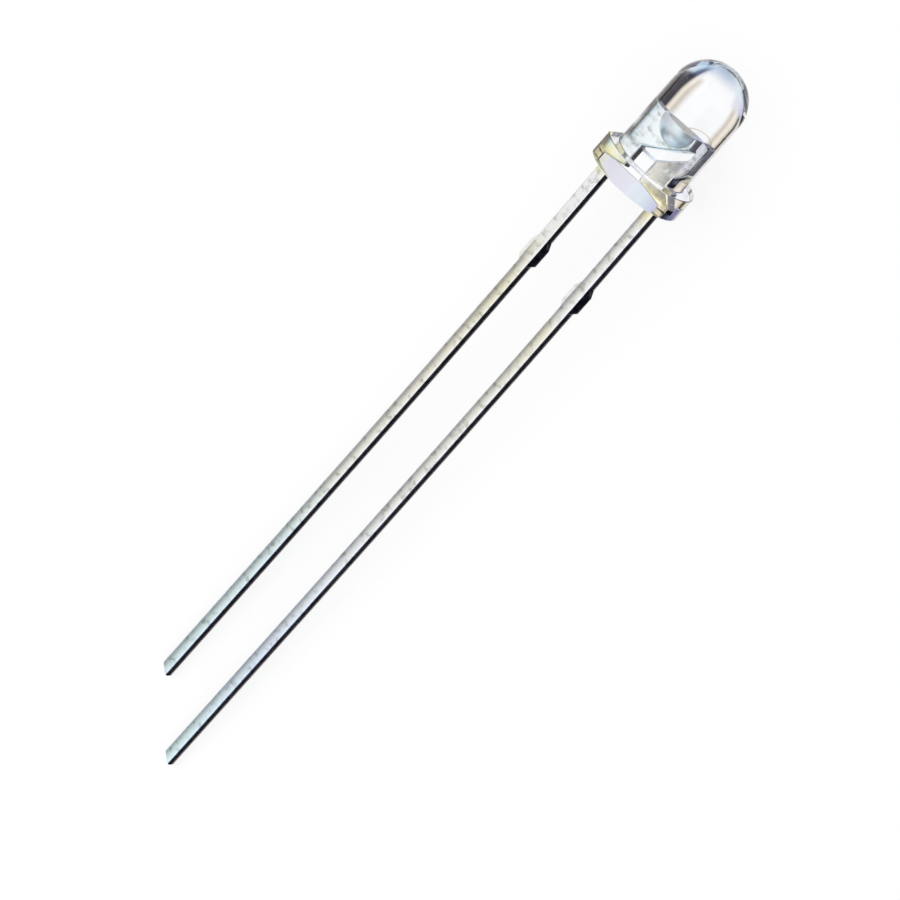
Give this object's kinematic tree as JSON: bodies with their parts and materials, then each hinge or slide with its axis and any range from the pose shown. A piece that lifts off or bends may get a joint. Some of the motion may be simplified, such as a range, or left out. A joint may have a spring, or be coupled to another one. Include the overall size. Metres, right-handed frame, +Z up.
{
  "type": "through hole led",
  "caption": "Clear round light-emitting diode with a domed lens, a flange with a cathode flat, and a long and a short stamped lead, lying on its side.",
  "frame": {"origin": "centre of the flange's seat, where the leads leave the resin, on the optical axis", "axes": "+Z up from the table that it lies on; +Y towards the dome, 3.65 degrees under the optical axis, so that the flange's rim and both lead tips touch the table; +X from the short lead (cathode) towards the long lead (anode)"},
  "size_m": [0.0038, 0.036, 0.0041],
  "materials": {
    "lens": "clear cast epoxy resin",
    "cathode_lead": "bright tin plate on stamped steel",
    "anode_lead": "bright tin plate on stamped steel",
    "led_die": "sawn crystal with a metal pad",
    "die_attach": "cured silver-filled glue",
    "bond_wire": "drawn gold wire"
  },
  "bodies": {
    "root": {"lens": "lens", "cathode_lead": "cathode_lead", "anode_lead": "anode_lead", "led_die": "led_die", "die_attach": "die_attach", "bond_wire": "bond_wire"}
  },
  "joints": []
}
